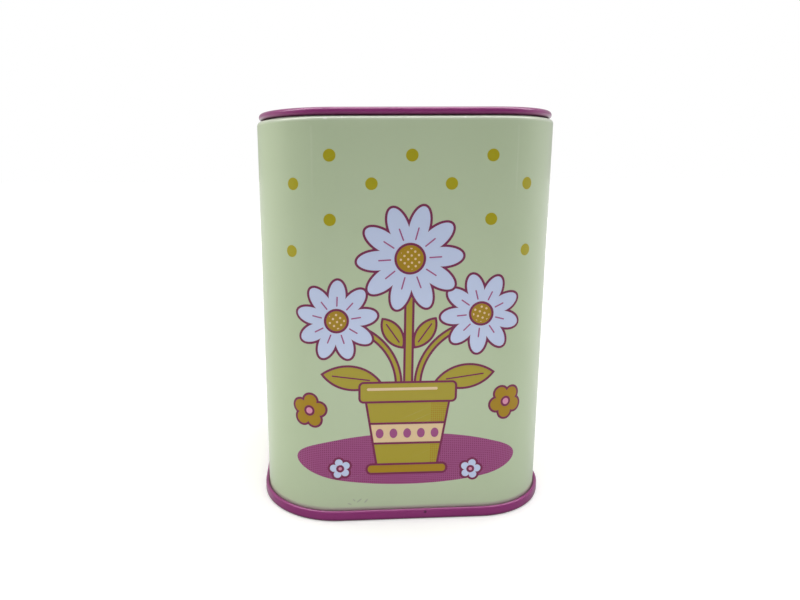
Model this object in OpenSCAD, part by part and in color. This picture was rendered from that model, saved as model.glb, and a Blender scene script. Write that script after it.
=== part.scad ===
// Square coin bank pressed from printed tinplate, in millimetres.
// It stands on z = 0 with its front towards -Y. The base is folded onto the wall, and the lid lifts off.

/* [Body] */
// Width across the flat sides, outside the sheet
body_w = 65; // [52:0.5:110]
// Depth from front to back, outside the sheet
body_d = 65; // [52:0.5:110]
// Outside radius of the upright corners
corner_r = 16.6; // [12:0.2:20]
// Height from the table to the top of the rolled edge
body_h = 86.5; // [55:0.5:140]
// Size across the rolled top edge
curl_d = 1.6; // [1.2:0.05:2]
// How far round the top edge is rolled, in degrees
curl_turn = 290; // [200:5:300]

/* [Sheet] */
// Thickness of the tinplate
sheet_t = 0.23; // [0.18:0.01:0.28]
// Gap left between folded layers
fold_gap = 0.03; // [0.02:0.01:0.05]

/* [Side seam] */
// Distance of the side seam from where the left side meets the back corner
side_seam_in = 5; // [3:0.5:8]
// Lap between the two folds of the side seam
side_lap = 2.4; // [1.6:0.1:3.4]
// Space past the end of each hook in the side seam
side_play = 0.3; // [0.15:0.05:0.6]
// Slope of the step that carries one sheet under the other, in degrees
side_slope = 65; // [50:5:75]
// Height of wall left plain past each end of the side seam
side_plain = 0.5; // [0.3:0.1:2]

/* [Base] */
// Height of the folded rim round the base
rim_h = 2.4; // [2.2:0.1:3.6]
// Gap left between the layers of the folded rim, where its sealing compound lies
rim_gap = 0.08; // [0.06:0.01:0.1]
// Radius on the lower edges of the folded rim
rim_foot_r = 0.55; // [0.34:0.01:0.56]
// Space past the end of each hook in the folded rim
rim_play = 0.25; // [0.1:0.05:0.5]
// Depth of the recess under the base
base_recess = 3.4; // [2.8:0.1:6]
// Inside radius where the recess turns into the base panel
base_bend_r = 0.9; // [0.5:0.1:1.2]
// Width of the outer band of the base panel
base_band = 4; // [2:0.25:5]
// Height of the step that stiffens the base panel
base_step = 0.8; // [0.6:0.1:1.6]
// Slope of that step, in degrees
base_slope = 45; // [30:5:60]

/* [Lid] */
// Size across the rolled bead of the lid
bead_d = 1.55; // [1.2:0.05:2]
// How far round the bead is rolled, in degrees
bead_turn = 285; // [200:5:300]
// Clearance a side between the plug of the lid and the rolled edge of the wall
plug_clear = 0.15; // [0.1:0.05:0.4]
// Height that the bead rides above the rolled edge
bead_clear = 0.2; // [0.1:0.05:0.4]
// Depth of the lid's recess below the top of the bead
lid_recess = 6; // [4:0.25:10]
// Inside radius where the plug turns into the lid's panel
lid_bend_r = 0.9; // [0.5:0.1:1.5]

/* [Coin slot] */
// Length of the coin slot
slot_l = 34; // [28:0.5:36]
// Width of the coin slot
slot_w = 4.6; // [4.4:0.1:6]
// Drop of the slot's turned edge below the panel
slot_lip = 1.2; // [0.8:0.1:2]
// Inside radius of the slot's turned edge
slot_bend_r = 0.35; // [0.2:0.05:0.5]

/* [Hidden] */
$fn = 48;

print_cream = "#d3dcb9";
plum = "#8b3f70";

// One layer of a fold with its gap, and the inside radius of a fold round one other layer
layer = sheet_t + fold_gap;
fold_r = sheet_t / 2 + fold_gap;

// Folded rim: its layers, heights of the two folds' centres, and the hooks between them
rim_layer = sheet_t + rim_gap;
rim_fold_r = sheet_t / 2 + rim_gap;
wall_fold_z = rim_layer + sheet_t + rim_fold_r;
base_fold_z = rim_h - sheet_t - rim_fold_r;
rim_hook = base_fold_z - wall_fold_z - rim_play;
rim_width = 5 * sheet_t + 4 * rim_gap;

// Rolled top edge of the wall
curl_z = body_h - curl_d / 2;

// Base panel: height of its raised middle, and how far in from the wall that begins
base_step_r = 0.5;
base_panel_z = base_recess + base_step;
base_panel_in = rim_layer + sheet_t + base_bend_r + base_band
    + step_run(base_step, base_slope, base_step_r);

// Lid: how far in the plug's wall lies, and the heights of the bead's centre and the panel
plug_x = curl_d + plug_clear + sheet_t / 2;
bead_z = body_h + bead_clear + bead_d / 2;
lid_panel_z = bead_z + bead_d / 2 - lid_recess - sheet_t;

// Side seam on plan: the middle of the step clears the other sheet's fold by fold_gap
side_step = 3 * layer;
side_step_x = side_lap / 2
    + (fold_r + 1.5 * sheet_t + fold_gap - cos(side_slope) * layer / 2) / sin(side_slope);
side_step_half = step_run(side_step, side_slope, fold_r) / 2;
side_hook = side_lap - side_play;
side_reach = side_lap / 2 + 6 * layer;
side_at = body_d / 2 - corner_r - side_seam_in;
side_z = base_recess + sheet_t + side_plain;
side_h = body_h - curl_d - side_plain - side_z;

// A step moves the sheet over by height: its sloping stretch, and its whole length on plan
function step_slope(height, turn, inside_r) =
    (height - (2 * inside_r + sheet_t) * (1 - cos(turn))) / sin(turn);
function step_run(height, turn, inside_r) =
    (2 * inside_r + sheet_t) * sin(turn) + step_slope(height, turn, inside_r) * cos(turn);

// Moves for sheet_run that go straight, step over by height, and head on as before
function step_over(straight, height, turn, inside_r, side) = [
    [straight, side * turn, inside_r],
    [step_slope(height, turn, inside_r), -side * turn, inside_r],
];

// Section of a bend in the sheet, centred on the origin, which the sheet enters heading along +X
module bend(turn, inside_r) {
    outside_r = inside_r + sheet_t;
    intersection() {
        difference() {
            circle(outside_r);
            circle(inside_r);
        }
        if (abs(turn) > 180) {
            half_plane(outside_r, 0);
            rotate(turn) half_plane(outside_r, -1);
        } else {
            intersection() {
                half_plane(outside_r, 0);
                rotate(turn) half_plane(outside_r, -1);
            }
        }
    }
}

// Half of the plane round a bend: side 0 lies ahead of the origin, and side -1 behind it
module half_plane(outside_r, side) {
    reach = 2 * outside_r;
    translate([side * reach, -reach]) square([reach, 2 * reach]);
}

// Section of a sheet that leaves the origin along +X and follows its moves.
// Each move is a straight length, a turn to the left in degrees, and the inside radius of the turn.
module sheet_run(moves, at = 0) {
    if (at < len(moves)) {
        straight = moves[at][0];
        turn = moves[at][1];
        inside_r = moves[at][2];
        centre_y = (turn < 0 ? -1 : 1) * (inside_r + sheet_t / 2);
        translate([0, -sheet_t / 2]) square([straight, sheet_t]);
        translate([straight, centre_y]) {
            if (turn != 0)
                bend(turn, inside_r);
            rotate(turn) translate([0, -centre_y]) sheet_run(moves, at + 1);
        }
    }
}

// Carries a section round a rounded rectangle, with the section's X outward and its Y up
module carry_round(w, d, r) {
    for (turn = [0 : 3]) {
        span = turn % 2 == 0 ? [w, d] : [d, w];
        flat = span[0] - 2 * r;
        rotate(90 * turn) {
            if (flat > 0)
                translate([-flat / 2, span[1] / 2, 0])
                    rotate([90, 0, 90]) linear_extrude(flat) children();
            translate([flat / 2, span[1] / 2 - r, 0])
                rotate_extrude(angle = 90) translate([r, 0]) children();
        }
    }
}

module round_body() {
    carry_round(body_w, body_d, corner_r) children();
}

// Middle of a flat panel, which the round sections reach at the centres of the corners
module panel_middle(z) {
    middle = [body_w - 2 * corner_r, body_d - 2 * corner_r, sheet_t];
    translate([-middle[0] / 2, -middle[1] / 2, z]) cube(middle);
}

// Outline of the coin slot, let out by edge all round
module slot_outline(edge) {
    length = slot_l - slot_w;
    square([length, slot_w + 2 * edge], center = true);
    for (x = [-1, 1])
        translate([x * length / 2, 0]) circle(slot_w / 2 + edge);
}

// Wall, from the hook in the folded rim to the end of the rolled edge
module wall_section() {
    translate([2 * rim_layer - sheet_t / 2, wall_fold_z + rim_hook]) rotate(-90) sheet_run([
        [rim_hook, -180, rim_fold_r],
        [curl_z - wall_fold_z, curl_turn, curl_d / 2 - sheet_t],
    ]);
}

// Grooved side seam in plan: each sheet's hook lies inside the other's, and the outer sheet stays flush
module side_seam_section() {
    translate([-side_reach, -sheet_t / 2]) sheet_run([
        [side_reach + side_lap / 2, -180, fold_r],
        [side_hook, 0, 0],
    ]);
    translate([side_reach, -sheet_t / 2]) rotate(180) sheet_run(concat(
        step_over(side_reach - side_step_x - side_step_half, side_step, side_slope, fold_r, 1),
        [
            [side_step_x - side_step_half + side_lap / 2, -180, fold_r],
            [side_hook, 0, 0],
        ]
    ));
}

// Stands a plan of the side seam in its place on the left side of the wall
module side_seam_place() {
    rotate(90)
        translate([side_at, body_w / 2, side_z])
            linear_extrude(side_h) children();
}

module body_wall() {
    color(print_cream) {
        difference() {
            round_body() wall_section();
            side_seam_place()
                translate([-side_reach, -2 * sheet_t])
                    square([2 * side_reach, 3 * sheet_t]);
        }
        side_seam_place() side_seam_section();
    }
}

// Base, from the raised panel down the recess, and round the rim to the hook inside the wall's hook
module base_section() {
    translate([-corner_r, base_panel_z + sheet_t / 2]) sheet_run(concat(
        step_over(corner_r - base_panel_in, base_step, base_slope, base_step_r, -1),
        [
            [base_band, -90, base_bend_r],
            [base_recess - base_bend_r - rim_foot_r, 90, rim_foot_r - sheet_t],
            [rim_width - 2 * rim_foot_r, 90, rim_foot_r - sheet_t],
            [base_fold_z - rim_foot_r, 180, rim_fold_r],
            [rim_hook, 0, 0],
        ]
    ));
}

module base() {
    color(plum) {
        round_body() base_section();
        panel_middle(base_panel_z);
    }
}

// Lid, from its panel up the plug and round the rolled bead
module lid_section() {
    translate([-corner_r, lid_panel_z + sheet_t / 2]) sheet_run([
        [corner_r - plug_x - lid_bend_r - sheet_t / 2, 90, lid_bend_r],
        [bead_z - lid_panel_z - sheet_t - lid_bend_r, -bead_turn, bead_d / 2 - sheet_t],
    ]);
}

// Edge of the coin slot, turned down
module slot_section() {
    translate([sheet_t / 2, lid_panel_z - slot_lip]) rotate(90) sheet_run([
        [slot_lip - slot_bend_r, -90, slot_bend_r],
    ]);
}

module lid() {
    color(plum) {
        difference() {
            union() {
                round_body() lid_section();
                panel_middle(lid_panel_z);
            }
            translate([0, 0, lid_panel_z - sheet_t])
                linear_extrude(3 * sheet_t) slot_outline(sheet_t + slot_bend_r);
        }
        carry_round(slot_l, slot_w, slot_w / 2) slot_section();
    }
}

body_wall();
base();
lid();
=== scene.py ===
import math
import bmesh
import bpy
from mathutils import Matrix, Vector


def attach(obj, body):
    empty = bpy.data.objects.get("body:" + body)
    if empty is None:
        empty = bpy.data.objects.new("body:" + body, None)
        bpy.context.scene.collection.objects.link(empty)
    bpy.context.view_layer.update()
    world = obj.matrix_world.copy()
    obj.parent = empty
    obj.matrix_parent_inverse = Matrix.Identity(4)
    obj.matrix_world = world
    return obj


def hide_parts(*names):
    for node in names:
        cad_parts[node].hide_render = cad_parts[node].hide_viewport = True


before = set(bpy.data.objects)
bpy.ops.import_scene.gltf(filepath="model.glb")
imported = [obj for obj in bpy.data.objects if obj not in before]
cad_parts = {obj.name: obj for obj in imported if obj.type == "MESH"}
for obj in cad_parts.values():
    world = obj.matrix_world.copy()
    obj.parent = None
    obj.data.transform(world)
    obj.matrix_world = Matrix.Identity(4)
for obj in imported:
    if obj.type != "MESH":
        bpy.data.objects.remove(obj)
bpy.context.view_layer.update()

mm = 0.001
near = 0.01                 # millimetres: closer than this is the same place
weld = 0.001                # and points closer than this are merged
paintedSlot, bareSlot = 0, 1


# Modelling. Sizes are in millimetres, and are turned to metres where an operator needs them.

tin = {
    "width": 65.0,          # over the flat sides of the wall
    "depth": 65.0,
    "corner": 16.6,         # radius of the upright corners
    "cornerSteps": 20,
    "sheet": 0.23,
    "seamGap": 0.03,        # between the layers of the side seam
    "rimGap": 0.08,         # between the layers of the rim, for its sealing compound
    "rimHeight": 2.4,
    "rimPlay": 0.25,        # past the end of each hook in the rim
    "sideCuts": 8,          # along each flat side
    "smoothAngle": 50,      # edges that turn less than this are shaded smooth
}
sheet = tin["sheet"]
seamLayer = sheet + tin["seamGap"]      # also the radius of a fold, to the middle of the sheet
rimLayer = sheet + tin["rimGap"]
wallFoldZ = 2 * rimLayer + sheet / 2    # centres of the rim's two folds
baseFoldZ = tin["rimHeight"] - rimLayer - sheet / 2
rimHook = baseFoldZ - wallFoldZ - tin["rimPlay"]
flat = tin["width"] / 2 - tin["corner"]     # half the length of a flat side
evenStops = [2 * flat / tin["sideCuts"]] * tin["sideCuts"]


def pointFor(name, place):
    # one loose vertex to draw from: a small plane merged to its middle
    bpy.ops.object.select_all(action="DESELECT")
    bpy.ops.mesh.primitive_plane_add(size=mm, location=Vector(place) * mm)
    piece = bpy.context.object
    piece.name = piece.data.name = name
    bpy.ops.object.transform_apply(location=True)
    bpy.ops.object.mode_set(mode="EDIT")
    bpy.ops.mesh.select_mode(type="VERT")
    bpy.ops.mesh.select_all(action="SELECT")
    bpy.ops.mesh.merge(type="CENTER")
    return piece


def drawOn(place, heading, axis, moves):
    # draws on with what is selected, straight on and then round a bend, move by move.
    # A move is its straight length and cuts, then the bend's turn to the left, radius and steps.
    place, heading, axis = Vector(place), Vector(heading), Vector(axis)
    for straight, cuts, turn, radius, steps in moves:
        for cut in range(cuts):
            bpy.ops.mesh.extrude_region_move(
                TRANSFORM_OT_translate={"value": heading * straight / cuts * mm})
        place = place + heading * straight
        if turn:
            centre = place + axis.cross(heading) * math.copysign(radius, turn)
            # spin turns the other way than the angle says
            bpy.ops.mesh.spin(steps=steps, angle=-math.radians(turn), center=centre * mm, axis=axis)
            turned = Matrix.Rotation(math.radians(turn), 3, axis)
            place = centre + turned @ (place - centre)
            heading = turned @ heading


def sweepRound(plan, stops):
    # carries the section that stands at the left end of the front once round the plan
    bpy.ops.mesh.select_all(action="SELECT")
    x = plan["width"] / 2 - plan["corner"]
    y = plan["depth"] / 2 - plan["corner"]
    corners = [(x, -y, 0), (x, y, 0), (-x, y, 0), (-x, -y, 0)]
    ways = [(1, 0, 0), (0, 1, 0), (-1, 0, 0), (0, -1, 0)]
    for corner, way, lengths in zip(corners, ways, stops):
        for length in lengths:
            bpy.ops.mesh.extrude_region_move(
                TRANSFORM_OT_translate={"value": Vector(way) * length * mm})
        bpy.ops.mesh.spin(
            steps=plan["cornerSteps"], angle=-math.radians(90), center=Vector(corner) * mm,
            axis=(0, 0, 1))
    bpy.ops.mesh.select_all(action="SELECT")
    bpy.ops.mesh.remove_doubles(threshold=weld * mm)


def pick(piece, kind, test):
    # selects only the edges or faces whose middle, in millimetres, passes the test
    bpy.ops.mesh.select_all(action="DESELECT")
    bpy.ops.mesh.select_mode(type=kind)
    mesh = bmesh.from_edit_mesh(piece.data)
    for part in mesh.edges if kind == "EDGE" else mesh.faces:
        middle = sum((v.co for v in part.verts), Vector()) / len(part.verts)
        if test(middle / mm, part):
            part.select_set(True)
    mesh.select_flush_mode()
    bmesh.update_edit_mesh(piece.data)


def facePainted(piece, test):
    # points every face to the painted side, which the test knows on some faces
    bpy.ops.mesh.select_all(action="SELECT")
    bpy.ops.mesh.normals_make_consistent(inside=False)
    mesh = bmesh.from_edit_mesh(piece.data)
    votes = [test(face.calc_center_median() / mm, face.normal) for face in mesh.faces]
    if sum(votes) < 0:
        bpy.ops.mesh.select_all(action="SELECT")
        bpy.ops.mesh.flip_normals()


def giveThickness(piece):
    # what is drawn so far is the middle of the sheet: its other side and its edges stay bare
    bpy.ops.object.mode_set(mode="OBJECT")
    for slot in (paintedSlot, bareSlot):
        piece.data.materials.append(None)
    solidify = piece.modifiers.new("sheet thickness", "SOLIDIFY")
    solidify.thickness = sheet * mm
    solidify.offset = 0
    solidify.use_even_offset = True
    solidify.use_quality_normals = True
    solidify.material_offset = bareSlot
    solidify.material_offset_rim = bareSlot
    bpy.context.view_layer.objects.active = piece
    bpy.ops.object.modifier_apply(modifier=solidify.name)
    bpy.ops.object.select_all(action="DESELECT")
    piece.select_set(True)
    bpy.ops.object.shade_smooth_by_angle(angle=math.radians(tin["smoothAngle"]))


def stepSlope(rise, turn, radius):
    # the sloping straight of a step in the sheet
    return (rise - 2 * radius * (1 - math.cos(turn))) / math.sin(turn)


def stepRun(rise, turn, radius):
    # the length that such a step takes along the sheet
    return 2 * radius * math.sin(turn) + stepSlope(rise, turn, radius) * math.cos(turn)


# The wall: one printed sheet, hooked into the base, locked down its left side and rolled in on top

wall = {
    "seamFoot": 4.13,       # the side seam runs from here
    "seamTop": 84.4,        # up to here
    "curlZ": 85.7,
    "curlRadius": 0.685,    # to the middle of the sheet
    "curlTurn": 290,
    "curlSteps": 24,
    "rows": 20,
    "foldSteps": 8,
    "seamAt": 10.9,         # from the middle of the side towards the back
    "seamLap": 2.4,
    "seamHook": 2.1,
    "seamSlope": 65,        # of the step that carries one sheet under the other
    "slopeSteps": 5,
    "seamCuts": 3,          # between the side seam and the middle of the side
    # the export's map, where the wall's printed front and back each lie in a wide strip
    "skin": 0.05,           # the print lies within this of the wall's outside
    "stripFoot": 0.6,       # heights along the sheet that a strip runs between
    "stripTop": 90.0,
    "stripSize": (0.655, 0.497),    # from here on shares of the map
    "backStrip": 0.503,
    "restFrom": 0.665,      # the faces that hardly show lie past here
    "restMargin": 0.004,
    "restAngle": 1.15,      # radians that one patch of them may turn
    "rollSlack": 0.3,       # radians before the roll that still count as its start
}


def roundFrom(x, y):
    # distance round the wall from the middle of the front, to the right
    turn = tin["corner"] * math.pi / 2
    if y < -flat:
        past = abs(x) - flat
        reach = abs(x) if past <= 0 else flat + tin["corner"] * math.atan2(past, -flat - y)
    else:
        reach = flat + turn + y + flat
    return math.copysign(reach, x)


def outFrom(p):
    # distance out from the outside of the wall, on plan
    return math.hypot(max(abs(p.x) - flat, 0), max(abs(p.y) - flat, 0)) - tin["corner"]


def mapPrint(piece):
    # the print's map, in millimetres: round from the middle of the front or back, and up
    bpy.ops.object.mode_set(mode="OBJECT")
    mesh = piece.data
    layer = mesh.uv_layers.new(name="print")
    for face in mesh.polygons:
        side = 1 if face.center.y < 0 else -1
        for corner in face.loop_indices:
            x, y, z = mesh.vertices[mesh.loops[corner].vertex_index].co / mm
            layer.uv[corner].vector = (roundFrom(side * x, side * y), z)


def mapBake(piece):
    # the export's map: the printed outside and the rolled edge lie in two strips,
    # with everything else packed beside them
    rollRadius = wall["curlRadius"] + sheet / 2
    halfRound = 4 * flat + tin["corner"] * math.pi
    stripRise = wall["stripTop"] - wall["stripFoot"]
    stripWidth, stripHeight = wall["stripSize"]

    def rolled(p):
        return p.z > wall["seamTop"] and (p.z > wall["curlZ"] or outFrom(p) < -wall["skin"])

    def shown(p, face):
        return face.material_index == paintedSlot and (rolled(p) or abs(outFrom(p)) < wall["skin"])

    mesh = piece.data
    mesh.uv_layers.active = mesh.uv_layers.new(name="OFBake")
    bpy.ops.object.mode_set(mode="EDIT")
    pick(piece, "FACE", lambda p, face: not shown(p, face))
    bpy.ops.uv.smart_project(
        angle_limit=wall["restAngle"], island_margin=wall["restMargin"], scale_to_bounds=True)
    bpy.ops.object.mode_set(mode="OBJECT")
    layer = mesh.uv_layers["OFBake"]
    for face in mesh.polygons:
        side = 1 if face.center.y < 0 else -1
        points = [mesh.vertices[v].co / mm for v in face.vertices]
        middle = sum(points, Vector()) / len(points)
        for corner, p in zip(face.loop_indices, points):
            if not shown(middle, face):
                share = layer.uv[corner].vector.x
                layer.uv[corner].vector.x = wall["restFrom"] + (1 - wall["restFrom"]) * share
                continue
            along = p.z
            if rolled(middle):
                turn = math.atan2(p.z - wall["curlZ"], outFrom(p) + rollRadius)
                if turn < -wall["rollSlack"]:
                    turn += 2 * math.pi
                along = wall["curlZ"] + rollRadius * turn
            layer.uv[corner].vector = (
                (0.5 + roundFrom(side * p.x, side * p.y) / halfRound) * stripWidth,
                (along - wall["stripFoot"]) / stripRise * stripHeight
                + (0 if side > 0 else wall["backStrip"]))
    mesh.uv_layers.active = mesh.uv_layers["print"]


def makeWall():
    # the outer sheet folds back at seamFold, and the other steps in from seamStep
    slope = math.radians(wall["seamSlope"])
    rise = 3 * seamLayer        # three layers
    seamFold = wall["seamAt"] + wall["seamLap"] / 2
    past = (seamLayer + sheet - math.cos(slope) * seamLayer / 2) / math.sin(slope)
    stepHalf = stepRun(rise, slope, seamLayer) / 2
    seamStep = seamFold + past + stepHalf

    place = (-flat, -(tin["depth"] / 2 + 2 * rimLayer - sheet / 2), wallFoldZ + rimHook)
    piece = pointFor("tin_wall", place)
    drawOn(place, (0, 0, -1), (-1, 0, 0), [
        (rimHook, 1, -180, rimLayer, wall["foldSteps"]),
        (wall["seamFoot"] - wallFoldZ, 1, 0, 0, 0),
        (wall["seamTop"] - wall["seamFoot"], wall["rows"], 0, 0, 0),
        (wall["curlZ"] - wall["seamTop"], 1,
            wall["curlTurn"], wall["curlRadius"], wall["curlSteps"]),
    ])
    leftStops = [flat - seamStep, seamStep - seamFold]
    leftStops += [seamFold / wall["seamCuts"]] * wall["seamCuts"]
    leftStops += evenStops[:len(evenStops) // 2]
    sweepRound(tin, [evenStops, evenStops, evenStops, leftStops])

    # the side seam: a strip comes out, and the folds are drawn from its two edges
    side = -tin["width"] / 2 + sheet / 2

    def onSide(p):
        return wall["seamFoot"] < p.z < wall["seamTop"] and abs(p.x - side) < near

    def pickOpenEdge(y):
        pick(piece, "EDGE", lambda p, edge: onSide(p) and abs(p.y - y) < near and edge.is_boundary)

    pick(piece, "FACE", lambda p, face: onSide(p) and seamFold < p.y < seamStep)
    bpy.ops.mesh.delete(type="FACE")
    pickOpenEdge(seamFold)
    drawOn((side, seamFold, 0), (0, 1, 0), (0, 0, 1), [
        (0, 0, -180, seamLayer, wall["foldSteps"]),
        (wall["seamHook"], 1, 0, 0, 0),
    ])
    pickOpenEdge(seamStep)
    drawOn((side, seamStep, 0), (0, -1, 0), (0, 0, 1), [
        (0, 0, wall["seamSlope"], seamLayer, wall["slopeSteps"]),
        (stepSlope(rise, slope, seamLayer), 1, -wall["seamSlope"], seamLayer, wall["slopeSteps"]),
        (wall["seamLap"] + past - stepHalf, 1, -180, seamLayer, wall["foldSteps"]),
        (wall["seamHook"], 1, 0, 0, 0),
    ])
    facePainted(piece, lambda p, normal: -normal.x if onSide(p) else 0)
    mapPrint(piece)
    giveThickness(piece)
    mapBake(piece)
    return piece


# The base: a pressed end, folded with the foot of the wall into the rim

base = {
    "recess": 3.4,
    "step": 0.8,            # rise of the panel's raised middle
    "slope": 45,
    "stepBend": 0.615,      # radii to the middle of the sheet
    "stepSteps": 5,
    "bend": 1.015,
    "bendSteps": 10,
    "rimFoot": 0.435,
    "rimFootSteps": 8,
    "foldSteps": 12,
    "band": 4.0,            # the flat outer band of the panel
    "inner": 1.0,           # corners of the loop that the middle of the panel fills
}


def makeBase():
    panelZ = base["recess"] + base["step"] + sheet / 2
    slope = math.radians(base["slope"])
    bend = base["bend"] - sheet / 2
    foot = base["rimFoot"] + sheet / 2
    rimWidth = 5 * sheet + 4 * tin["rimGap"]        # five layers
    stepIn = rimLayer + sheet + bend + base["band"] + stepRun(base["step"], slope, base["stepBend"])

    place = (-flat, -(flat + base["inner"]), panelZ)
    piece = pointFor("base_pan", place)
    drawOn(place, (0, -1, 0), (-1, 0, 0), [
        (tin["corner"] - base["inner"] - stepIn, 2,
            -base["slope"], base["stepBend"], base["stepSteps"]),
        (stepSlope(base["step"], slope, base["stepBend"]), 1,
            base["slope"], base["stepBend"], base["stepSteps"]),
        (base["band"], 2, -90, base["bend"], base["bendSteps"]),
        (base["recess"] - bend - foot, 1, 90, base["rimFoot"], base["rimFootSteps"]),
        (rimWidth - 2 * foot, 1, 90, base["rimFoot"], base["rimFootSteps"]),
        (baseFoldZ - foot, 2, 180, rimLayer, base["foldSteps"]),
        (rimHook, 1, 0, 0, 0),
    ])
    sweepRound(tin, [evenStops] * 4)

    def onPanel(p):
        return abs(p.z - panelZ) < near

    pick(piece, "EDGE", lambda p, edge: edge.is_boundary and onPanel(p))
    bpy.ops.mesh.edge_face_add()
    facePainted(piece, lambda p, normal: -normal.z if onPanel(p) else 0)
    giveThickness(piece)
    return piece


# The lid: a panel down in a plug that fits the rolled edge, with a rolled bead round it

lid = {
    "panelZ": 82.135,       # middle of the sheet
    "beadZ": 87.475,
    "beadRadius": 0.66,
    "beadTurn": 285,
    "beadSteps": 28,
    "plugIn": 1.865,        # from the outside of the wall to the middle of the plug's sheet
    "bend": 1.015,
    "bendSteps": 10,
    "inner": 6.0,           # corners of the panel's inner loop, which clears the slot
    "slotLength": 34.0,
    "slotWidth": 4.6,
    "slotSteps": 10,        # round each end
    "slotCuts": 8,          # along each side
    "slotDrop": 1.2,
    "slotBend": 0.35,
    "slotBendSteps": 6,
}


def makeSlotEdge():
    # the slot's turned edge by itself
    plan = {
        "width": lid["slotLength"],
        "depth": lid["slotWidth"],
        "corner": lid["slotWidth"] / 2,
        "cornerSteps": lid["slotSteps"],
    }
    slotFlat = plan["width"] - 2 * plan["corner"]
    foot = lid["panelZ"] - sheet / 2 - lid["slotDrop"]
    place = (-slotFlat / 2, -plan["depth"] / 2 - sheet / 2, foot)
    edge = pointFor("slot_edge", place)
    drawOn(place, (0, 0, 1), (-1, 0, 0), [
        (lid["slotDrop"] - lid["slotBend"], 2,
            -90, lid["slotBend"] + sheet / 2, lid["slotBendSteps"]),
    ])
    stops = [slotFlat / lid["slotCuts"]] * lid["slotCuts"]
    sweepRound(plan, [stops, [], stops, []])
    bpy.ops.object.mode_set(mode="OBJECT")
    return edge


def makeLid():
    place = (-flat, -(flat + lid["inner"]), lid["panelZ"])
    piece = pointFor("plug_lid", place)
    drawOn(place, (0, -1, 0), (-1, 0, 0), [
        (tin["corner"] - lid["inner"] - lid["plugIn"] - lid["bend"], 3,
            90, lid["bend"], lid["bendSteps"]),
        (lid["beadZ"] - lid["panelZ"] - lid["bend"], 3,
            -lid["beadTurn"], lid["beadRadius"], lid["beadSteps"]),
    ])
    sweepRound(tin, [evenStops] * 4)
    bpy.ops.object.mode_set(mode="OBJECT")

    # the slot's edge is joined on, and bridged to the panel
    edge = makeSlotEdge()
    piece.select_set(True)
    edge.select_set(True)
    bpy.context.view_layer.objects.active = piece
    bpy.ops.object.join()
    bpy.ops.object.mode_set(mode="EDIT")

    def onPanel(p):
        return abs(p.z - lid["panelZ"]) < near

    pick(piece, "EDGE", lambda p, edge: edge.is_boundary and onPanel(p))
    bpy.ops.mesh.bridge_edge_loops()
    facePainted(piece, lambda p, normal: normal.z if onPanel(p) else 0)
    giveThickness(piece)
    return piece


wallPiece = makeWall()
print("wall made:", len(wallPiece.data.polygons), "faces")
basePiece = makeBase()
print("base made:", len(basePiece.data.polygons), "faces")
lidPiece = makeLid()
print("lid made:", len(lidPiece.data.polygons), "faces")
for piece, node, body, slotName in (
    (wallPiece, "body_wall", "bank", "printed_tin"),
    (basePiece, "base", "bank", "plum_tin"),
    (lidPiece, "lid", "lid", "plum_tin"),
):
    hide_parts(node)
    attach(piece, body)


# Materials. Colours are written in sRGB.

def linearColour(hexColour):
    channels = [int(hexColour[i:i + 2], 16) / 255 for i in (1, 3, 5)]
    return [c / 12.92 if c <= 0.04045 else ((c + 0.055) / 1.055) ** 2.4 for c in channels] + [1]


def addNode(tree, kind, inputs, **settings):
    # adds a node with its settings, and gives each input a value, or a link from a first output
    node = tree.nodes.new("ShaderNode" + kind)
    for name, value in settings.items():
        setattr(node, name, value)
    for name, value in inputs.items():
        socket = [s for i, s in enumerate(node.inputs) if s.enabled and name in (i, s.name)][0]
        if isinstance(value, bpy.types.Node):
            value = [s for s in value.outputs if s.enabled][0]
        if isinstance(value, bpy.types.NodeSocket):
            tree.links.new(value, socket)
        else:
            socket.default_value = value
    return node


eased = {"interpolation_type": "SMOOTHSTEP"}        # setting of a range with soft ends


def newMaterial(name):
    material = bpy.data.materials.new(name)
    material.use_nodes = True
    material.node_tree.nodes.clear()
    return material, material.node_tree


def layered(tree, paint, layers):
    # lays colours over the paint in turn, each as far as its cover says
    for cover, colour in layers:
        paint = addNode(tree, "Mix", {
            0: cover, 6: paint, 7: linearColour(colour)}, data_type="RGBA")
    return paint


# The print: flowers in a pot under rows of dots, in millimetres on the wall's own map.
# Each shape gives the distance to its edge, which is negative inside.

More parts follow.
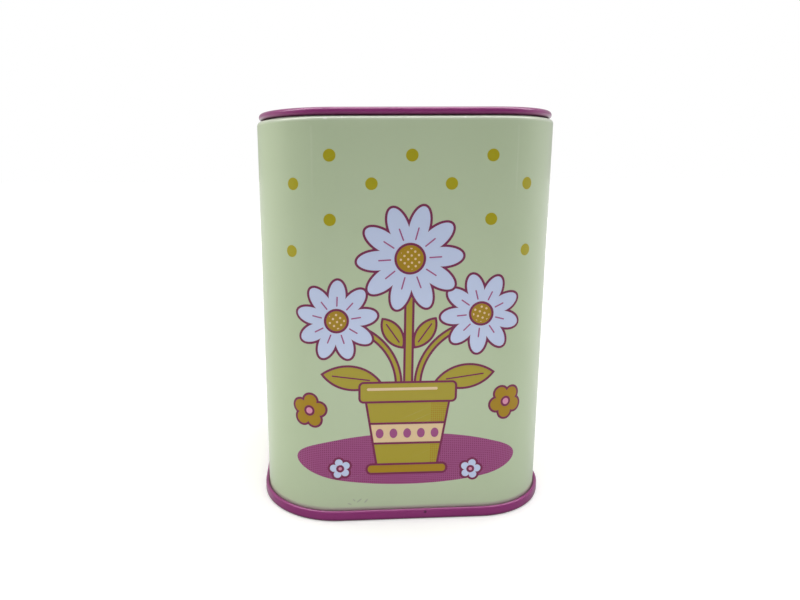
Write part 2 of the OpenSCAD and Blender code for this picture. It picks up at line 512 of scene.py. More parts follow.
artwork = {
    "middle": -1.12,        # of the print's foot, from the middle of the side
    "turn": -0.25,          # the print sits a little skew on the sheet
    "line": 0.5,
    "outline": "#7c2450",
    "white": "#c4d0ee",
    "mustard": "#ab9c28",
    "ochre": "#a98504",
    "dot": "#aba002",
    "mauve": "#a04c85",
    "pink": "#d98fae",
    "sand": "#e0c49a",
    "screen": (0.62, 45),   # pitch and turn of the printer's dots, coarser than real ones to show
    "dotRadius": 1.25,
    "dotRows": {
        78.93: (-16.4, 0.04, 16.31),
        73.4: (-24.14, -8.04, 8.13, 24.25),
        66.3: (-16.42, 16.42),
        59.77: (-24.8, 24.75),
    },
    "mat": ((0, 14.2), (24.5, 6.0)),
    "matCover": 0.45,
    "stems": [((-15.6, 31.0), 13.6, -1), ((15.6, 31.0), 13.6, 1)],
    "stemHalf": 0.6,
    "midStem": ((0, 41), (0.85, 10), 0.5),      # a slab: its place, half sizes and corner radius
    "leaves": [             # place, length, width and turn
        ((-12.2, 32.9), 12.5, 5.2, 172), ((12.2, 32.9), 12.5, 5.2, 8),
        ((-3.4, 42.6), 7.6, 3.6, 125), ((3.4, 42.6), 7.6, 3.6, 55),
    ],
    "leafVein": (0.33, 0.16),       # half length as a share of the leaf's, and half width
    "daisies": [            # place, radius, petals and turn
        ((-15.2, 45.4), 8.8, 9, 8), ((15.2, 46.6), 8.8, 9, 25), ((0, 58.3), 11.2, 10, 3),
    ],
    "blossoms": [           # place, radius, turn and ink
        ((-21.3, 25.4), 4.0, 12, "ochre"), ((21.6, 26.8), 4.0, 50, "ochre"),
        ((-14.6, 12.2), 2.6, 30, "white"), ((14.2, 11.4), 2.6, 5, "white"),
    ],
    "pot": ((0, 20.6), 7.9, 8.2, 0.16, 0.8),    # place, half width and height, taper, rounding
    "potShade": ((8.2, 20.6), (3.2, 9), 2),
    "potInset": 0.25,       # the shade stays this far inside the outline
    "potShadeCover": 0.15,
    "potBand": ((0, 20.2), (12, 2.3), 0.3),
    "potBeads": [(s, 20.2) for s in (-6, -3, 0, 3, 6)],
    "potBeadRadii": (0.85, 1.1),
    "potRim": ((0, 29.6), (10.4, 2.2), 0.9),
    "potShine": ((-1.2, 30.3), (7.6, 0.3), 0.3),
    "potFoot": ((0, 11.9), (8.8, 1.1), 1.0),
}
# parts of a flower, as shares of its radius
daisy = {
    "petalAt": 0.6,
    "petalHalf": 0.4,
    "petalFill": 0.62,      # share of the room for each petal that it takes
    "veinAt": 0.47,
    "veinHalf": 0.12,
    "veinWidth": 0.15,      # half, in millimetres
    "middle": 0.3,
    "eye": 0.27,
    "seeds": 0.2,
    "seedPitch": 1.5,       # in millimetres
    "seedCover": 0.55,
}
blossom = {
    "petals": 5,
    "petalAt": 0.55,
    "petalRadius": 0.42,
    "middle": 0.4,
    "eye": 0.24,
}


def discShape(tree, spot, place, radius):
    reach = addNode(tree, "VectorMath", {0: spot, 1: (*place, 0)}, operation="DISTANCE")
    return addNode(tree, "Math", {0: reach, 1: radius}, operation="SUBTRACT")


def ovalShape(tree, spot, place, radii, turn=0):
    unit = addNode(tree, "Mapping", {
        "Vector": spot, "Location": (*place, 0), "Rotation": (0, 0, math.radians(turn)),
        "Scale": (*radii, 1)}, vector_type="TEXTURE")
    reach = addNode(tree, "VectorMath", {0: unit}, operation="LENGTH")
    steep = addNode(tree, "VectorMath", {0: unit, 1: (*radii, 1)}, operation="DIVIDE")
    steep = addNode(tree, "VectorMath", {0: steep}, operation="LENGTH")
    past = addNode(tree, "Math", {0: reach, 1: 1}, operation="SUBTRACT")
    past = addNode(tree, "Math", {0: past, 1: reach}, operation="MULTIPLY")
    return addNode(tree, "Math", {0: past, 1: steep}, operation="DIVIDE")


def folded(tree, spot, place, turn):
    # the spot seen from a place with a turn of its own, and folded on to one quarter
    local = addNode(tree, "Mapping", {
        "Vector": spot, "Location": (*place, 0), "Rotation": (0, 0, math.radians(turn))},
        vector_type="TEXTURE")
    return addNode(tree, "VectorMath", {0: local}, operation="ABSOLUTE")


def slabShape(tree, spot, place, halfSize, radius, turn=0):
    local = folded(tree, spot, place, turn)
    core = (halfSize[0] - radius, halfSize[1] - radius, 0)
    local = addNode(tree, "VectorMath", {0: local, 1: core}, operation="SUBTRACT")
    local = addNode(tree, "VectorMath", {0: local, 1: (0, 0, 0)}, operation="MAXIMUM")
    reach = addNode(tree, "VectorMath", {0: local}, operation="LENGTH")
    return addNode(tree, "Math", {0: reach, 1: radius}, operation="SUBTRACT")


def leafShape(tree, spot, place, length, width, turn):
    # two arcs that meet in points
    arc = (length ** 2 + width ** 2) / (4 * width)
    local = folded(tree, spot, place, turn)
    return discShape(tree, local, (0, width / 2 - arc), arc)


def stemShape(tree, spot, place, radius, outward):
    # a quarter of a ring, from the pot up and over to the flower
    ring = discShape(tree, spot, place, radius)
    ring = addNode(tree, "Math", {0: ring}, operation="ABSOLUTE")
    ring = addNode(tree, "Math", {0: ring, 1: artwork["stemHalf"]}, operation="SUBTRACT")
    local = addNode(tree, "VectorMath", {0: spot, 1: (*place, 0)}, operation="SUBTRACT")
    parts = addNode(tree, "SeparateXYZ", {0: local})
    past = addNode(tree, "Math", {0: parts.outputs["X"], 1: outward}, operation="MULTIPLY")
    under = addNode(tree, "Math", {0: parts.outputs["Y"], 1: -1}, operation="MULTIPLY")
    for side in (past, under):
        ring = addNode(tree, "Math", {0: ring, 1: side}, operation="MAXIMUM")
    return ring


def potShape(tree, spot, place, halfWidth, halfHeight, taper, rounding):
    local = addNode(tree, "VectorMath", {0: spot, 1: (*place, 0)}, operation="SUBTRACT")
    parts = addNode(tree, "SeparateXYZ", {0: local})
    side = addNode(tree, "Math", {0: parts.outputs["X"]}, operation="ABSOLUTE")
    slope = addNode(tree, "Math", {0: parts.outputs["Y"], 1: taper}, operation="MULTIPLY")
    side = addNode(tree, "Math", {0: side, 1: slope}, operation="SUBTRACT")
    side = addNode(tree, "Math", {0: side, 1: halfWidth}, operation="SUBTRACT")
    end = addNode(tree, "Math", {0: parts.outputs["Y"]}, operation="ABSOLUTE")
    end = addNode(tree, "Math", {0: end, 1: halfHeight}, operation="SUBTRACT")
    return addNode(tree, "Math", {0: side, 1: end, 2: rounding}, operation="SMOOTH_MAX")


def petalSpot(tree, spot, place, count, turn):
    # folds the flower round its middle on to half of one petal, which lies along X
    local = addNode(tree, "Mapping", {
        "Vector": spot, "Location": (*place, 0), "Rotation": (0, 0, math.radians(turn))},
        vector_type="TEXTURE")
    parts = addNode(tree, "SeparateXYZ", {0: local})
    reach = addNode(tree, "VectorMath", {0: local}, operation="LENGTH")
    angle = addNode(
        tree, "Math", {0: parts.outputs["Y"], 1: parts.outputs["X"]}, operation="ARCTAN2")
    angle = addNode(tree, "Math", {0: angle, 1: math.pi / count}, operation="PINGPONG")
    along = addNode(tree, "Math", {0: angle}, operation="COSINE")
    across = addNode(tree, "Math", {0: angle}, operation="SINE")
    along = addNode(tree, "Math", {0: along, 1: reach}, operation="MULTIPLY")
    across = addNode(tree, "Math", {0: across, 1: reach}, operation="MULTIPLY")
    return addNode(tree, "CombineXYZ", {"X": along, "Y": across})


def unionOf(tree, shapes):
    # one shape that covers them all
    whole = shapes[0]
    for shape in shapes[1:]:
        whole = addNode(tree, "Math", {0: whole, 1: shape}, operation="MINIMUM")
    return whole


def screenDots(tree, spot, pitch, turn):
    # the printer's dots: positive inside, up to 1 in their middles
    local = addNode(tree, "Mapping", {
        "Vector": spot, "Rotation": (0, 0, math.radians(turn)),
        "Scale": (pitch / (2 * math.pi), pitch / (2 * math.pi), 1)}, vector_type="TEXTURE")
    parts = addNode(tree, "SeparateXYZ", {0: local})
    rows = addNode(tree, "Math", {0: parts.outputs["X"]}, operation="SINE")
    columns = addNode(tree, "Math", {0: parts.outputs["Y"]}, operation="SINE")
    return addNode(tree, "Math", {0: rows, 1: columns}, operation="MULTIPLY")


def inked(tree, ground, shape, ink, edge=0.0):
    # lays an ink on the ground as far as the shape reaches, and edge millimetres past it
    inside = addNode(tree, "Math", {0: shape, 1: edge}, operation="LESS_THAN")
    return layered(tree, ground, [(inside, artwork[ink])])


def outlined(tree, ground, shape, ink):
    ground = inked(tree, ground, shape, "outline", artwork["line"] / 2)
    return inked(tree, ground, shape, ink, -artwork["line"] / 2)


def screened(tree, ground, shape, ink, dots, cover):
    # prints the shape as dots, more of them the lower cover is
    gap = addNode(tree, "Math", {0: cover, 1: dots}, operation="SUBTRACT")
    shape = addNode(tree, "Math", {0: shape, 1: gap}, operation="MAXIMUM")
    return inked(tree, ground, shape, ink)


def daisyOn(tree, ground, spot, place, radius, count, turn):
    petal = petalSpot(tree, spot, place, count, turn)
    half = radius * math.tan(math.pi / count) * daisy["petalFill"]
    shape = unionOf(tree, [
        ovalShape(tree, petal, (radius * daisy["petalAt"], 0), (radius * daisy["petalHalf"], half)),
        discShape(tree, spot, place, radius * daisy["middle"])])
    paint = outlined(tree, ground, shape, "white")
    vein = slabShape(tree, petal, (radius * daisy["veinAt"], 0),
        (radius * daisy["veinHalf"], daisy["veinWidth"]), daisy["veinWidth"])
    paint = inked(tree, paint, vein, "mauve")
    paint = outlined(tree, paint, discShape(tree, spot, place, radius * daisy["eye"]), "ochre")
    seeds = screenDots(tree, spot, daisy["seedPitch"], turn)
    field = discShape(tree, spot, place, radius * daisy["seeds"])
    return screened(tree, paint, field, "sand", seeds, daisy["seedCover"])


def blossomOn(tree, ground, spot, place, radius, turn, ink):
    petal = petalSpot(tree, spot, place, blossom["petals"], turn)
    shape = unionOf(tree, [
        discShape(tree, petal, (radius * blossom["petalAt"], 0), radius * blossom["petalRadius"]),
        discShape(tree, spot, place, radius * blossom["middle"])])
    paint = outlined(tree, ground, shape, ink)
    return outlined(tree, paint, discShape(tree, spot, place, radius * blossom["eye"]), "pink")


def potOn(tree, ground, spot, screen):
    body = potShape(tree, spot, *artwork["pot"])
    paint = outlined(tree, ground, body, "mustard")
    inset = addNode(tree, "Math", {0: body, 1: artwork["potInset"]}, operation="ADD")
    shade = slabShape(tree, spot, *artwork["potShade"])
    shade = addNode(tree, "Math", {0: inset, 1: shade}, operation="MAXIMUM")
    paint = screened(tree, paint, shade, "ochre", screen, artwork["potShadeCover"])
    band = slabShape(tree, spot, *artwork["potBand"])
    band = addNode(tree, "Math", {0: body, 1: band}, operation="MAXIMUM")
    paint = outlined(tree, paint, band, "sand")
    beads = [ovalShape(tree, spot, place, artwork["potBeadRadii"]) for place in artwork["potBeads"]]
    paint = inked(tree, paint, unionOf(tree, beads), "mauve")
    paint = outlined(tree, paint, slabShape(tree, spot, *artwork["potRim"]), "mustard")
    paint = inked(tree, paint, slabShape(tree, spot, *artwork["potShine"]), "sand")
    return outlined(tree, paint, slabShape(tree, spot, *artwork["potFoot"]), "ochre")


def printOn(tree, ground):
    spot = addNode(tree, "UVMap", {}, uv_map="print")
    spot = addNode(tree, "Mapping", {
        "Vector": spot, "Location": (artwork["middle"], 0, 0),
        "Rotation": (0, 0, math.radians(artwork["turn"]))}, vector_type="TEXTURE")
    screen = screenDots(tree, spot, *artwork["screen"])

    dots = []
    for z, row in artwork["dotRows"].items():
        dots += [discShape(tree, spot, (s, z), artwork["dotRadius"]) for s in row]
    paint = inked(tree, ground, unionOf(tree, dots), "dot")

    mat = ovalShape(tree, spot, *artwork["mat"])
    paint = inked(tree, paint, mat, "mauve")
    paint = screened(tree, paint, mat, "outline", screen, artwork["matCover"])

    for place, radius, outward in artwork["stems"]:
        paint = outlined(tree, paint, stemShape(tree, spot, place, radius, outward), "mustard")
    paint = outlined(tree, paint, slabShape(tree, spot, *artwork["midStem"]), "mustard")
    veinShare, veinHalf = artwork["leafVein"]
    for place, length, width, turn in artwork["leaves"]:
        paint = outlined(tree, paint, leafShape(tree, spot, place, length, width, turn), "mustard")
        vein = slabShape(tree, spot, place, (length * veinShare, veinHalf), veinHalf, turn)
        paint = inked(tree, paint, vein, "outline")
    for flower in artwork["daisies"]:
        paint = daisyOn(tree, paint, spot, *flower)
    paint = potOn(tree, paint, spot, screen)
    for flower in artwork["blossoms"]:
        paint = blossomOn(tree, paint, spot, *flower)
    return paint


# Wear, and painted light and shade, in millimetres: places on the front are round from its middle,
# and up.
# A mark is its place, its two half sizes and its turn.
# A zone grows from its first height to its second, up to its amount.

wear = {
    "scratches": [
        ((-11.53, 4.5), (0.66, 0.13), 39), ((-10.0, 4.37), (0.55, 0.15), 49),
        ((-12.64, 4.62), (0.33, 0.12), -47), ((-13.65, 3.75), (0.42, 0.12), -18),
    ],
    "curlChips": [
        ((-17.9, 85.98), (0.4, 0.14), 0), ((-14.6, 86.15), (0.2, 0.08), 0),
        ((9.7, 86.1), (0.22, 0.08), 0),
    ],
    "softEdge": 0.12,
    "bends": (20.7, 36.9),          # faint upright lines where the rollers bent the corners
    "bendWidth": 0.35,
    "bendEnd": (68.0, 76.0),        # they fade out here, going down
    "bendTop": 84.7,
    # painted highlight on the bends: how much paler they are painted
    "bendHighlightShare": 0.09,
    "seamDirtAndReflectionZone": (3.2, 2.5, 0.38),   # dirt and a painted reflection of the plum rim, where the wall meets the rim
    "edgeHighlightZone": (85.4, 86.1, 0.45), # painted highlight: the rolled edge is painted pale
    "beadShadeZone": (87.35, 86.75, 0.6),    # painted shade under the bead
    "beadFoot": 86.3,
    "rimDirtAndShadeZone": (1.0, 0.2, 0.55),    # dirt and painted contact shade on the foot of the rim
    "footZone": (0.5, 0.0, 0.12),   # chips crowd on the foot of the rim
    "crestZone": (87.9, 88.3, 0.12),    # and on the crest of the bead
    "chipSize": 1.667,
    "chipFrom": (0.775, 0.795),     # the noise shows as a chip above these
    "speck": (3.1, -33.4, 1.75),    # a dent in the lacquer of the rim
    "speckReach": (0.429, 0.165),   # its soft edge, from outside to inside
    "scuffPatch": 14.29,            # scuffs come in patches of this size
    "scuffPatchFrom": (0.42, 0.62),
    "scuffSoft": 0.04,
}
noiseSpan = {"From Min": 0.3, "From Max": 0.7}      # where most of a noise's values lie


def softMarks(tree, spot, marks):
    # 1 inside the marks, and fading out over their edges
    shape = unionOf(tree, [ovalShape(tree, spot, *mark) for mark in marks])
    return addNode(tree, "MapRange", {
        "Value": shape, "From Min": wear["softEdge"], "From Max": -wear["softEdge"],
    }, **eased)


def zones(tree, height, names):
    # how far each named zone of wear, dirt and painted light has grown at this height
    levels = []
    for name in names:
        start, end, amount = wear[name]
        levels.append(addNode(tree, "MapRange", {
            "Value": height, "From Min": start, "From Max": end, "To Max": amount,
        }, **eased))
    return levels


def scuffs(tree, spot, runs):
    # broken hairlines that run a few ways, wider than real so that they show.
    # A run is its turn, the length and width of its grain, and its cover.
    low, high = wear["scuffPatchFrom"]
    patches = addNode(tree, "TexNoise", {
        "Vector": spot, "Scale": 1 / wear["scuffPatch"], "Detail": 1})
    patches = addNode(tree, "MapRange", {
        "Value": patches, "From Min": low, "From Max": high}, **eased)
    lines = 0
    for turn, size, cover in runs:
        grain = addNode(tree, "Mapping", {
            "Vector": spot, "Rotation": (0, 0, math.radians(turn)), "Scale": (*size, 1),
        }, vector_type="TEXTURE")
        grain = addNode(tree, "TexNoise", {"Vector": grain, "Scale": 1, "Detail": 0})
        grain = addNode(tree, "MapRange", {
            "Value": grain, "From Min": cover, "From Max": cover + wear["scuffSoft"],
        }, **eased)
        lines = addNode(tree, "Math", {0: lines, 1: grain}, operation="MAXIMUM")
    return addNode(tree, "Math", {0: lines, 1: patches}, operation="MULTIPLY")


def scuffedGloss(tree, finish, noise, rubbed):
    # how rough the coat is: uneven with the noise, and duller where it is rubbed
    low, high = finish["gloss"]
    gloss = addNode(tree, "MapRange", {"Value": noise, **noiseSpan, "To Min": low, "To Max": high})
    return addNode(tree, "Math", {
        0: rubbed, 1: finish["scuffGloss"], 2: gloss}, operation="MULTIPLY_ADD")


# The three finishes. Sizes of their patterns are in millimetres, and a new size also moves
# the pattern. A bump is its strength, and its height in millimetres.

printFinish = {
    "ground": ("#b9c9a7", "#bccbab"),   # pale green, a little cloudy
    "cloudSize": 11.11,
    "scratch": "#a3ab9b",
    # the white undercoat, shown in chips, and also the colour of the painted highlights on the
    # bends and the rolled edge
    "undercoatAndHighlight": "#e6e8df",
    "faded": "#d6d9cc",
    # mauve of the dirt and the painted reflection of the rim, low on the wall
    "dirtAndPaintedLight": "#95528a",
    "fading": 0.08,
    "scuffs": [(24, (22, 0.16), 0.76), (101, (26, 0.16), 0.78)],
    "scuffGloss": 0.2,
    "smearSize": 22.22,
    "gloss": (0.3, 0.4),
    "varnish": {"IOR": 1.5, "Coat Weight": 0.5, "Coat Roughness": 0.13},
    "waveSize": 18.18,
    "waveBump": (0.25, 0.1),
    "bendBump": (0.5, 0.04),
    "peelSize": 0.625,
    "peelBump": (0.15, 0.01),
}


def offsetPrintedTinplate():
    # tinplate printed in spot inks under a clear varnish: even colour, a soft shine
    # and a trace of orange peel
    material, tree = newMaterial("offsetPrintedTinplate")
    place = addNode(tree, "TexCoord", {}).outputs["Object"]
    spot = addNode(tree, "UVMap", {}, uv_map="print")
    around = addNode(tree, "SeparateXYZ", {0: spot})
    height = around.outputs["Y"]
    clouds, smears, waves, peel = [addNode(tree, "TexNoise", {
        "Vector": place, "Scale": 1 / (printFinish[size] * mm), "Detail": detail,
    }) for size, detail in (("cloudSize", 3), ("smearSize", 4), ("waveSize", 1), ("peelSize", 2))]
    thin, full = printFinish["ground"]
    paint = printOn(tree, layered(tree, linearColour(thin), [(clouds, full)]))

    # grey scratches, and varnish chipped to the white undercoat, which are on the front only:
    # the back shares its map
    depth = addNode(tree, "SeparateXYZ", {0: place}).outputs["Y"]
    front = addNode(tree, "Math", {0: depth, 1: 0}, operation="LESS_THAN")
    scratches, chips = [addNode(tree, "Math", {
        0: softMarks(tree, spot, wear[marks]), 1: front,
    }, operation="MULTIPLY") for marks in ("scratches", "curlChips")]

    # handling dulls the varnish in hairlines and smears, and pales it a little
    rubbed = scuffs(tree, spot, printFinish["scuffs"])
    faded = addNode(tree, "Math", {0: rubbed, 1: printFinish["fading"]}, operation="MULTIPLY")
    gloss = scuffedGloss(tree, printFinish, smears, rubbed)

    # the upright bends show only near the top
    side = addNode(tree, "Math", {0: around.outputs["X"]}, operation="ABSOLUTE")
    gaps = []
    for bend in wear["bends"]:
        gap = addNode(tree, "Math", {0: side, 1: bend}, operation="SUBTRACT")
        gaps.append(addNode(tree, "Math", {0: gap}, operation="ABSOLUTE"))
    bends = addNode(tree, "MapRange", {
        "Value": unionOf(tree, gaps), "From Min": wear["bendWidth"], "From Max": 0,
    }, **eased)
    under = addNode(tree, "Math", {0: height, 1: wear["bendTop"]}, operation="LESS_THAN")
    low, high = wear["bendEnd"]
    over = addNode(tree, "MapRange", {"Value": height, "From Min": low, "From Max": high}, **eased)
    for part in (under, over):
        bends = addNode(tree, "Math", {0: bends, 1: part}, operation="MULTIPLY")
    # painted highlight: the bends are painted a little paler where they catch the light
    bendHighlight = addNode(tree, "Math", {0: bends, 1: wear["bendHighlightShare"]}, operation="MULTIPLY")

    seamDirtAndReflection, edge = zones(tree, height, ("seamDirtAndReflectionZone", "edgeHighlightZone"))
    paint = layered(tree, paint, [
        (scratches, printFinish["scratch"]),
        (chips, printFinish["undercoatAndHighlight"]),
        (faded, printFinish["faded"]),
        (bendHighlight, printFinish["undercoatAndHighlight"]),
        # dirt and a painted reflection of the rim, low on the wall
        (seamDirtAndReflection, printFinish["dirtAndPaintedLight"]),
        # painted highlight along the rolled edge
        (edge, printFinish["undercoatAndHighlight"]),
    ])

    bump = {}
    for relief, name in ((waves, "waveBump"), (bends, "bendBump"), (peel, "peelBump")):
        strength, rise = printFinish[name]
        bump = {"Normal": addNode(tree, "Bump", {
            "Height": relief, "Strength": strength, "Distance": rise * mm, **bump})}
    shader = addNode(tree, "BsdfPrincipled", {
        "Base Color": paint, "Roughness": gloss, **printFinish["varnish"], **bump})
    addNode(tree, "OutputMaterial", {"Surface": shader})
    return material


lacquerFinish = {
    "paint": ("#8c2971", "#912c75"),
    "cloudSize": 8.333,
    # the dark of the painted shade under the bead, and of the dirt and painted shade on the rim's
    # foot
    "dirtAndPaintedLight": "#2c1420",
    "speck": "#4a0f3e",
    "metal": "#b9b4a8",
    "scuffs": [(15, (18, 0.16), 0.75), (112, (20, 0.16), 0.77)],
    "scuffGloss": 0.25,
    "gloss": (0.28, 0.34),
    "lacquer": {"IOR": 1.5, "Coat Weight": 0.6, "Coat Roughness": 0.15},
    "peelSize": 0.7143,
    "peelBump": (0.2, 0.01),
    "dentBump": (0.5, 0.03),
}


def plumLacqueredTinplate():
    # tinplate roller-coated in a plum lacquer and stoved: deep even colour, firm shine,
    # and bare metal on worn edges
    material, tree = newMaterial("plumLacqueredTinplate")
    place = addNode(tree, "TexCoord", {}).outputs["Object"]
    spot = addNode(tree, "Mapping", {"Vector": place, "Scale": (mm, mm, mm)}, vector_type="TEXTURE")
    height = addNode(tree, "SeparateXYZ", {0: spot}).outputs["Z"]
    clouds, peel = [addNode(tree, "TexNoise", {
        "Vector": place, "Scale": 1 / (lacquerFinish[size] * mm), "Detail": detail,
    }) for size, detail in (("cloudSize", 3), ("peelSize", 2))]

    dirtAndPaintedLight, rimDirtAndShade, foot, crest = zones(tree, height, ("beadShadeZone", "rimDirtAndShadeZone", "footZone", "crestZone"))
    # the painted shade under the bead stops at the rolled edge
    above = addNode(tree, "Math", {0: height, 1: wear["beadFoot"]}, operation="GREATER_THAN")
    dirtAndPaintedLight = addNode(tree, "Math", {0: dirtAndPaintedLight, 1: above}, operation="MULTIPLY")
    dirtAndPaintedLight = addNode(tree, "Math", {0: dirtAndPaintedLight, 1: rimDirtAndShade}, operation="MAXIMUM")

    reach, core = wear["speckReach"]
    speck = addNode(tree, "VectorMath", {0: spot, 1: wear["speck"]}, operation="DISTANCE")
    speck = addNode(tree, "MapRange", {
        "Value": speck, "From Min": reach, "From Max": core}, **eased)

    # rubbed to the metal in chips
    chips = addNode(tree, "TexNoise", {
        "Vector": spot, "Scale": 1 / wear["chipSize"], "Detail": 3, "Roughness": 0.6})
    for crowd in (foot, crest):
        chips = addNode(tree, "Math", {0: chips, 1: crowd}, operation="ADD")
    low, high = wear["chipFrom"]
    chips = addNode(tree, "MapRange", {"Value": chips, "From Min": low, "From Max": high}, **eased)
    thin, full = lacquerFinish["paint"]
    paint = layered(tree, linearColour(thin), [
        (clouds, full),
        # painted shade under the bead, and dirt with painted shade on the rim's foot
        (dirtAndPaintedLight, lacquerFinish["dirtAndPaintedLight"]),
        (speck, lacquerFinish["speck"]),
        (chips, lacquerFinish["metal"]),
    ])

    rubbed = scuffs(tree, spot, lacquerFinish["scuffs"])
    gloss = scuffedGloss(tree, lacquerFinish, clouds, rubbed)
    strength, rise = lacquerFinish["peelBump"]
    bump = addNode(tree, "Bump", {"Height": peel, "Strength": strength, "Distance": rise * mm})
    dents = addNode(tree, "Math", {0: chips, 1: speck}, operation="MAXIMUM")
    strength, rise = lacquerFinish["dentBump"]
    bump = addNode(tree, "Bump", {
        "Height": dents, "Strength": strength, "Distance": rise * mm, "Normal": bump,
    }, invert=True)
    shader = addNode(tree, "BsdfPrincipled", {
        "Base Color": paint, "Metallic": chips, "Roughness": gloss,
        **lacquerFinish["lacquer"], "Normal": bump})
    addNode(tree, "OutputMaterial", {"Surface": shader})
    return material


metalFinish = {
    "metal": "#d9d6cd",
    "lineLength": 16.67,
    "lineWidth": 0.2857,    # coarser than real so that they show
    "levelFrom": 0.7,       # a face counts as level from this Z of its normal
    "gloss": (0.28, 0.36),
    "lineBump": (0.1, 0.01),
}


def brightTinplate():
    # unprinted tinplate, cold rolled: bright metal with fine lines the way it was rolled,
    # round the wall and along X on level faces
    material, tree = newMaterial("brightTinplate")
    place = addNode(tree, "TexCoord", {}).outputs["Object"]
    facing = addNode(tree, "NewGeometry", {}).outputs["True Normal"]
    level = addNode(tree, "SeparateXYZ", {0: facing}).outputs["Z"]
    level = addNode(tree, "Math", {0: level}, operation="ABSOLUTE")
    level = addNode(tree, "Math", {0: level, 1: metalFinish["levelFrom"]}, operation="GREATER_THAN")
    along, across = 1 / (metalFinish["lineLength"] * mm), 1 / (metalFinish["lineWidth"] * mm)
    grain = addNode(tree, "Mix", {
        0: level, 4: (along, along, across), 5: (along, across, along)}, data_type="VECTOR")
    lines = addNode(tree, "Mapping", {"Vector": place, "Scale": grain})
    lines = addNode(tree, "TexNoise", {"Vector": lines, "Scale": 1, "Detail": 3})
    low, high = metalFinish["gloss"]
    gloss = addNode(tree, "MapRange", {"Value": lines, **noiseSpan, "To Min": low, "To Max": high})
    strength, rise = metalFinish["lineBump"]
    bump = addNode(tree, "Bump", {"Height": lines, "Strength": strength, "Distance": rise * mm})
    shader = addNode(tree, "BsdfPrincipled", {
        "Base Color": linearColour(metalFinish["metal"]), "Metallic": 1, "Roughness": gloss,
        "Normal": bump})
    addNode(tree, "OutputMaterial", {"Surface": shader})
    return material


printed = offsetPrintedTinplate()
plum = plumLacqueredTinplate()
bare = brightTinplate()
for piece, outside in ((wallPiece, printed), (basePiece, plum), (lidPiece, plum)):
    piece.data.materials[paintedSlot] = outside
    piece.data.materials[bareSlot] = bare
print("materials made:", len(printed.node_tree.nodes), "nodes in the print")


# Light and floor, in metres. The room is white to the camera,
# and a little dimmer where the photographer stands.

studio = {
    "roomLevel": 0.46,      # light that the room sends to the bank, from the sides and back
    "roomFront": 0.09,      # and from the photographer's side
    "mirrorLevel": 0.48,    # how bright the same two show in the varnish
    "mirrorFront": 0.16,
    "frontTo": 0.2,         # the second level is reached at this Y of a way, towards the back
    "floorSize": 30,
    "floorColour": "#e4e4e2",
    "floorFront": 0.15,     # how bright the floor shows in the varnish
    "floorSides": 0.9,
    "floorNear": 0.35,      # added for the camera, so that the floor is white and keeps the shadow
    "floorFar": 0.75,
    "floorFade": (0.05, 0.6),       # from near to far
    "light": "#ffffff",
    "aim": (0, 0, 0.045),
    "lamps": {              # place, size, power and colour
        "left side": ((-0.70, 0.30, 0.20), (1.2, 0.4), 4.2, "#fffff0"),
        "right side": ((0.70, 0.30, 0.20), (1.2, 0.4), 4.1, "#fcf9ff"),
        "above": ((0.0, -0.06, 0.62), (0.36, 0.36), 2.3, "#ffffff"),
        "shine": ((0.0, -0.06, 0.60), (1.7, 0.30), 7.6, "#ffffff"),
        "low front": ((0.0, -0.11, 0.012), (0.15, 0.04), 0.034, "#ffffff"),
    },
}


def frontToBack(tree, way, front, back):
    # one level towards the photographer, another to the sides and back
    way = addNode(tree, "SeparateXYZ", {0: way}).outputs["Y"]
    return addNode(tree, "MapRange", {
        "Value": way, "From Min": -1, "From Max": studio["frontTo"],
        "To Min": front, "To Max": back}, **eased)


bpy.ops.mesh.primitive_plane_add(size=studio["floorSize"])
floor = bpy.context.object
floor.name = "floor"
floorMaterial, tree = newMaterial("paleFloor")
path = addNode(tree, "LightPath", {})
place = addNode(tree, "TexCoord", {}).outputs["Object"]
away = addNode(tree, "VectorMath", {0: place}, operation="LENGTH")
start, end = studio["floorFade"]
lift = addNode(tree, "MapRange", {
    "Value": away, "From Min": start, "From Max": end,
    "To Min": studio["floorNear"], "To Max": studio["floorFar"]}, **eased)
lift = addNode(tree, "Math", {0: lift, 1: path.outputs["Is Camera Ray"]}, operation="MULTIPLY")
white = linearColour(studio["light"])
glow = addNode(tree, "Emission", {"Color": white, "Strength": lift})
surface = addNode(tree, "BsdfDiffuse", {"Color": linearColour(studio["floorColour"])})
surface = addNode(tree, "AddShader", {0: surface, 1: glow})
mirrored = addNode(tree, "Math", {
    0: path.outputs["Is Glossy Ray"], 1: path.outputs["Is Transmission Ray"]},
    operation="MAXIMUM")
way = addNode(tree, "VectorMath", {0: place}, operation="NORMALIZE")
image = frontToBack(tree, way, studio["floorFront"], studio["floorSides"])
image = addNode(tree, "Emission", {"Color": white, "Strength": image})
surface = addNode(tree, "MixShader", {0: mirrored, 1: surface, 2: image})
addNode(tree, "OutputMaterial", {"Surface": surface})
floor.data.materials.append(floorMaterial)

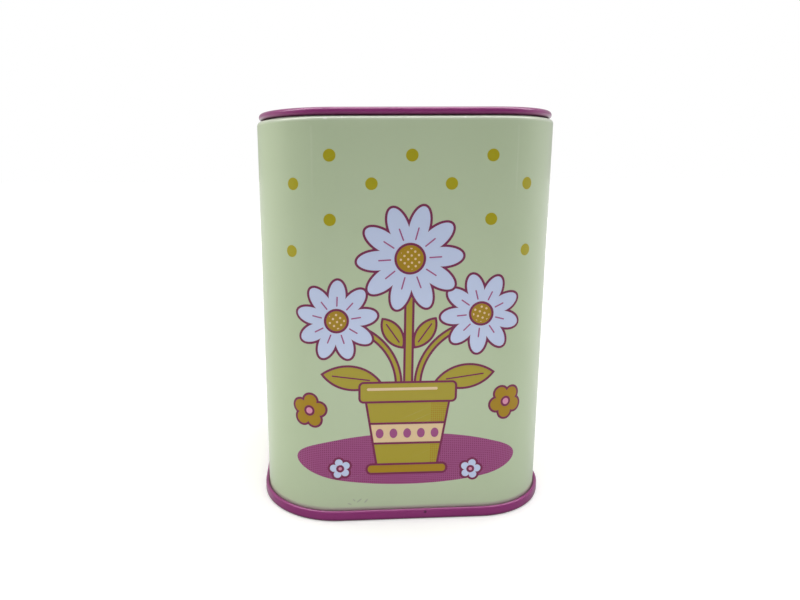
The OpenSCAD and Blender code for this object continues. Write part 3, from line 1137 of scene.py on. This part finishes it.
world = bpy.data.worlds.new("studio")
bpy.context.scene.world = world
world.use_nodes = True
tree = world.node_tree
tree.nodes.clear()
path = addNode(tree, "LightPath", {})
mirrored = path.outputs["Is Glossy Ray"]
front, back = [addNode(tree, "MapRange", {
    "Value": mirrored, "To Min": studio[room], "To Max": studio[mirror],
}) for room, mirror in (("roomFront", "mirrorFront"), ("roomLevel", "mirrorLevel"))]
way = addNode(tree, "TexCoord", {}).outputs["Generated"]
level = frontToBack(tree, way, front, back)
clear = addNode(tree, "Math", {
    0: path.outputs["Is Camera Ray"], 1: path.outputs["Is Transmission Ray"]},
    operation="MAXIMUM")
level = addNode(tree, "Math", {0: level, 1: clear}, operation="MAXIMUM")
sky = addNode(tree, "Background", {"Color": white, "Strength": level})
addNode(tree, "OutputWorld", {"Surface": sky})

for name, (place, size, power, colour) in studio["lamps"].items():
    light = bpy.data.lights.new(name, "AREA")
    light.shape = "RECTANGLE"
    light.size, light.size_y = size
    light.energy = power
    light.color = linearColour(colour)[:3]
    holder = bpy.data.objects.new(name, light)
    bpy.context.scene.collection.objects.link(holder)
    aim = Vector(studio["aim"]) - Vector(place)
    holder.location = place
    holder.rotation_euler = aim.to_track_quat("-Z", "Y").to_euler()
    holder.visible_camera = False
    holder.visible_glossy = name == "shine"     # shows in the varnish, while the others only light
    holder.visible_diffuse = name != "shine"


# The camera, matched to the photo's outline

lens = {
    "place": (-19.7208, -153.5863, 74.84),      # millimetres
    "right": (0.99864719, -0.05147618, -0.00734834),
    "up": (0.01748817, 0.19941077, 0.97975992),
    "forward": (0.04896896, 0.978563, -0.20004123),
    "length": 27,
    "sensor": 36,
    "picture": (800, 600),      # pixels
    "middle": (348.09, 299.2),  # where the lens points, in the picture
    "clip": (0.01, 10),         # metres
}

cameraData = bpy.data.cameras.new("camera")
camera = bpy.data.objects.new("camera", cameraData)
bpy.context.scene.collection.objects.link(camera)
axes = Matrix((lens["right"], lens["up"], -Vector(lens["forward"]))).transposed().to_4x4()
camera.matrix_world = Matrix.Translation(Vector(lens["place"]) * mm) @ axes
cameraData.lens = lens["length"]
cameraData.sensor_width = lens["sensor"]
cameraData.shift_x = (lens["picture"][0] / 2 - lens["middle"][0]) / lens["picture"][0]
cameraData.shift_y = (lens["middle"][1] - lens["picture"][1] / 2) / lens["picture"][0]
cameraData.clip_start, cameraData.clip_end = lens["clip"]
bpy.context.scene.camera = camera

bpy.context.scene.view_settings.view_transform = "Standard"

print("camera, light and floor set")
